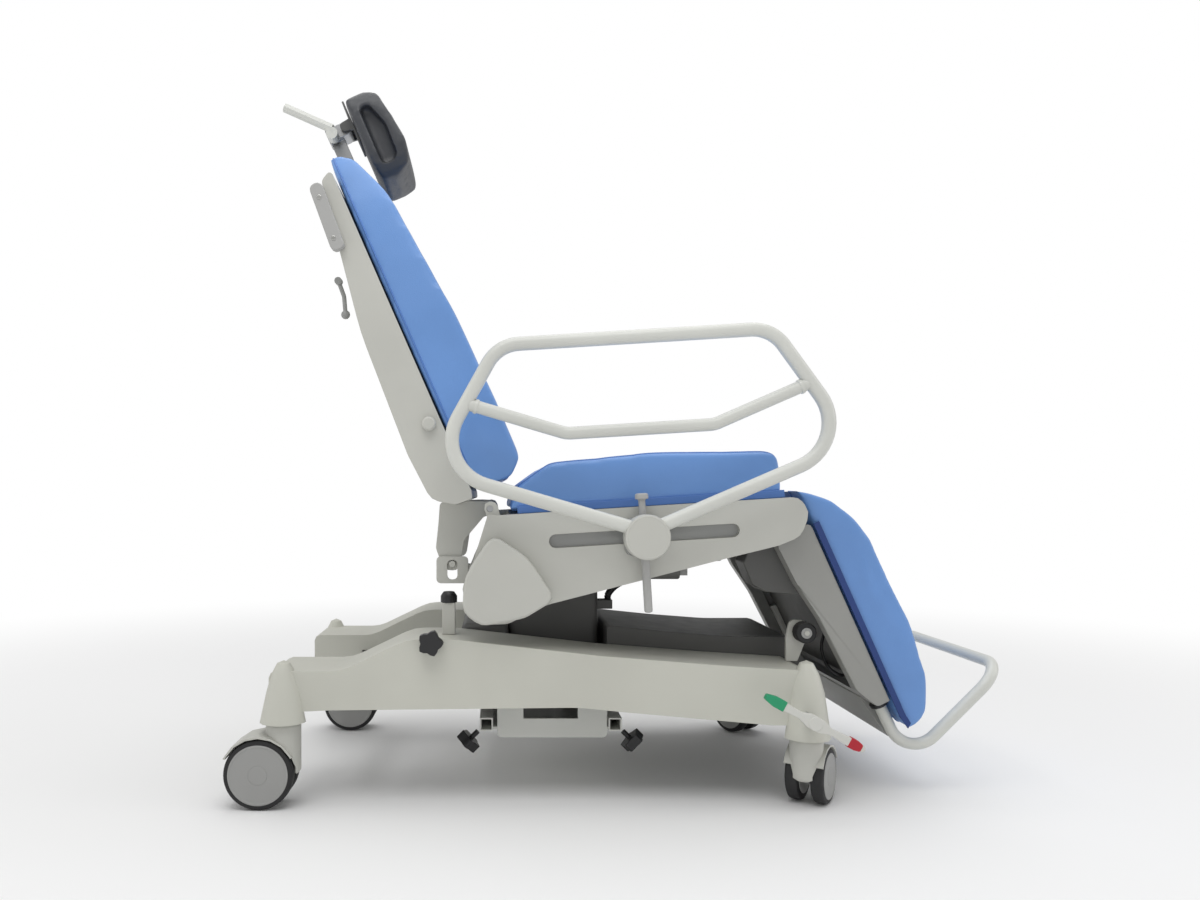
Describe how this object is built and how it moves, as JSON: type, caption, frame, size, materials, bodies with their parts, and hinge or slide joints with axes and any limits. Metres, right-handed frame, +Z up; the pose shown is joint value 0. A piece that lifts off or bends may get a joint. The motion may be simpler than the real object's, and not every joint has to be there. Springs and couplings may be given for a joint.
{
  "type": "stretcher trolley",
  "caption": "Wheeled day-surgery trolley in its chair position: lifting column, padded back, seat, leg section and head rest, a side rail and a foot bow.",
  "frame": {"origin": "middle of the footprint, on the floor", "axes": "+X towards the foot end, +Y to the patient's left, +Z up"},
  "size_m": [1.45, 0.726, 1.3808],
  "materials": {
    "chassis": "satin",
    "shell_plastic": "matte",
    "dark_cover": "matte",
    "black_plastic": "satin",
    "steel": "satin",
    "rail_paint": "satin",
    "upholstery": "satin",
    "head_skin": "matte",
    "wheel_plastic": "satin",
    "roller_rubber": "matte",
    "pedal_plastic": "matte",
    "cable_rubber": "matte"
  },
  "bodies": {
    "base": {"base_frame": "chassis", "beam_cover_right": "shell_plastic", "beam_cover_left": "shell_plastic", "centre_cover": "dark_cover", "power_unit": "shell_plastic", "column_box": "dark_cover", "column_post": "chassis", "pole_socket": "dark_cover", "socket_cap": "black_plastic", "carrier": "rail_paint", "roller_bracket": "chassis"},
    "castor_rear_right": {"castor_housing_rear_right": "shell_plastic"},
    "wheels_rear_right": {"castor_wheels_rear_right": "wheel_plastic"},
    "castor_rear_left": {"castor_housing_rear_left": "shell_plastic"},
    "wheels_rear_left": {"castor_wheels_rear_left": "wheel_plastic"},
    "castor_front_right": {"castor_housing_front_right": "shell_plastic"},
    "wheels_front_right": {"castor_wheels_front_right": "wheel_plastic"},
    "castor_front_left": {"castor_housing_front_left": "shell_plastic"},
    "wheels_front_left": {"castor_wheels_front_left": "wheel_plastic"},
    "brake": {"brake_shaft": "chassis", "brake_pedal_right": "pedal_plastic", "brake_pedal_left": "pedal_plastic"},
    "roller": {"buffer_roller": "roller_rubber"},
    "pole_clamp_knob": {"pole_knob": "black_plastic"},
    "carrier_knob_rear": {"carrier_knob_rear": "black_plastic"},
    "carrier_knob_front": {"carrier_knob_front": "black_plastic"},
    "column_middle": {"column_middle": "shell_plastic"},
    "lift": {"column_sleeve": "shell_plastic", "seat_frame": "chassis", "seat_plate_right": "shell_plastic", "seat_plate_left": "shell_plastic", "pivot_cover_right": "shell_plastic", "pivot_cover_left": "shell_plastic", "seat_pan": "dark_cover", "seat_cushion": "upholstery", "back_hinge_shaft": "chassis", "leg_hinge_shaft": "chassis", "back_actuator": "dark_cover", "leg_actuator": "dark_cover", "conduit": "cable_rubber"},
    "back_rod": {"back_rod": "steel"},
    "leg_rod": {"leg_rod": "steel"},
    "back": {"back_shell": "shell_plastic", "back_cushion": "upholstery", "back_lever": "steel", "push_handle_right": "black_plastic", "push_handle_left": "black_plastic"},
    "release_lever": {"release_lever": "steel"},
    "shell_knob": {"shell_knob": "black_plastic"},
    "head_post": {"head_post": "dark_cover"},
    "clamp_lever": {"clamp_lever": "steel"},
    "head": {"head_plate": "dark_cover", "head_pad": "head_skin"},
    "leg": {"leg_frame": "shell_plastic", "leg_cushion": "upholstery", "leg_cable": "cable_rubber"},
    "foot_bow": {"foot_bow": "steel"},
    "rail_carriage": {"rail_carriage": "dark_cover"},
    "side_rail": {"side_rail": "rail_paint"},
    "lock_rod": {"lock_rod": "steel"}
  },
  "joints": [
    {"name": "swivel_rear_right", "type": "hinge", "parent": "base", "child": "castor_rear_right", "pos_m": [-0.6237, -0.28, 0], "axis": [0, 0, 1], "continuous": true},
    {"name": "wheel_rear_right", "type": "hinge", "parent": "castor_rear_right", "child": "wheels_rear_right", "pos_m": [-0.6627, -0.28, 0.0625], "axis": [0, -1, 0], "continuous": true},
    {"name": "swivel_rear_left", "type": "hinge", "parent": "base", "child": "castor_rear_left", "pos_m": [-0.6237, 0.28, 0], "axis": [0, 0, 1], "continuous": true},
    {"name": "wheel_rear_left", "type": "hinge", "parent": "castor_rear_left", "child": "wheels_rear_left", "pos_m": [-0.5847, 0.28, 0.0625], "axis": [0, 1, 0], "continuous": true},
    {"name": "swivel_front_right", "type": "hinge", "parent": "base", "child": "castor_front_right", "pos_m": [0.3238, -0.28, 0], "axis": [0, 0, 1], "continuous": true},
    {"name": "wheel_front_right", "type": "hinge", "parent": "castor_front_right", "child": "wheels_front_right", "pos_m": [0.33946, -0.25679, 0.05], "axis": [-0.829, 0.5592, 0], "continuous": true},
    {"name": "swivel_front_left", "type": "hinge", "parent": "base", "child": "castor_front_left", "pos_m": [0.3238, 0.28, 0], "axis": [0, 0, 1], "continuous": true},
    {"name": "wheel_front_left", "type": "hinge", "parent": "castor_front_left", "child": "wheels_front_left", "pos_m": [0.33946, 0.25679, 0.05], "axis": [0.829, 0.5592, 0], "continuous": true},
    {"name": "brake_pedals", "type": "hinge", "parent": "base", "child": "brake", "pos_m": [0.3129, 0, 0.1667], "axis": [0, -1, 0], "range_deg": [0, 57]},
    {"name": "buffer_roller", "type": "hinge", "parent": "base", "child": "roller", "pos_m": [0.3418, -0.215, 0.3027], "axis": [0, 1, 0], "continuous": true},
    {"name": "pole_clamp_knob", "type": "hinge", "parent": "base", "child": "pole_clamp_knob", "pos_m": [-0.3558, -0.2983, 0.297], "axis": [0, 1, 0], "range_deg": [0, 180]},
    {"name": "carrier_knob_rear", "type": "hinge", "parent": "base", "child": "carrier_knob_rear", "pos_m": [-0.2852, -0.195, 0.0999], "axis": [-0.7071, 0, -0.7071], "range_deg": [0, 180]},
    {"name": "carrier_knob_front", "type": "hinge", "parent": "base", "child": "carrier_knob_front", "pos_m": [0.0146, -0.195, 0.0999], "axis": [0.7071, 0, -0.7071], "range_deg": [0, 180]},
    {"name": "lift", "type": "slide", "parent": "base", "child": "lift", "axis": [0, 0, 1], "range_m": [0, 0.26]},
    {"name": "column_middle", "type": "slide", "parent": "base", "child": "column_middle", "axis": [0, 0, 1], "range_m": [0, 0.13]},
    {"name": "back_section", "type": "hinge", "parent": "lift", "child": "back", "pos_m": [-0.25, 0, 0.536], "axis": [0, -1, 0], "range_deg": [0, 66]},
    {"name": "back_rod", "type": "slide", "parent": "lift", "child": "back_rod", "axis": [1, 0, 0], "range_m": [0, 0.1382]},
    {"name": "leg_section", "type": "hinge", "parent": "lift", "child": "leg", "pos_m": [0.313, 0, 0.5429], "axis": [0, -1, 0], "range_deg": [0, 64]},
    {"name": "leg_rod", "type": "slide", "parent": "lift", "child": "leg_rod", "axis": [1, 0, 0], "range_m": [0, 0.1272]},
    {"name": "foot_bow", "type": "slide", "parent": "leg", "child": "foot_bow", "axis": [0.4368, 0, -0.8996], "range_m": [0, 0.07]},
    {"name": "head_post", "type": "slide", "parent": "back", "child": "head_post", "axis": [-0.4019, 0, 0.9157], "range_m": [0, 0.08]},
    {"name": "head_tilt", "type": "hinge", "parent": "head_post", "child": "head", "pos_m": [-0.5534, 0, 1.3267], "axis": [0, -1, 0], "range_deg": [0, 40]},
    {"name": "clamp_lever", "type": "hinge", "parent": "head_post", "child": "clamp_lever", "pos_m": [-0.5764, -0.045, 1.3057], "axis": [0, -1, 0], "range_deg": [0, 40]},
    {"name": "release_lever", "type": "hinge", "parent": "back", "child": "release_lever", "pos_m": [-0.5316, -0.236, 0.9585], "axis": [0, -1, 0], "range_deg": [0, 10], "stiffness_Nm_per_rad": 2, "springref_deg": -5.73},
    {"name": "shell_knob", "type": "hinge", "parent": "back", "child": "shell_knob", "pos_m": [-0.361, -0.2683, 0.6909], "axis": [0, 1, 0], "range_deg": [0, 90]},
    {"name": "rail_carriage", "type": "slide", "parent": "lift", "child": "rail_carriage", "axis": [0.9981, 0, 0.061], "range_m": [-0.13, 0.14]},
    {"name": "side_rail", "type": "hinge", "parent": "rail_carriage", "child": "side_rail", "pos_m": [0.0259, -0.335, 0.4873], "axis": [0, -1, 0], "range_deg": [0, 120]},
    {"name": "lock_rod", "type": "slide", "parent": "rail_carriage", "child": "lock_rod", "axis": [-0.061, 0, 0.9981], "range_m": [0, 0.012], "stiffness_N_per_m": 400, "springref_m": -0.02}
  ],
  "couplings": [
    {"joint": "column_middle", "follows": "lift", "ratio": 0.5},
    {"joint": "back_rod", "follows": "back_section", "m_per_rad": 0.11994},
    {"joint": "leg_rod", "follows": "leg_section", "m_per_rad": 0.11379}
  ]
}
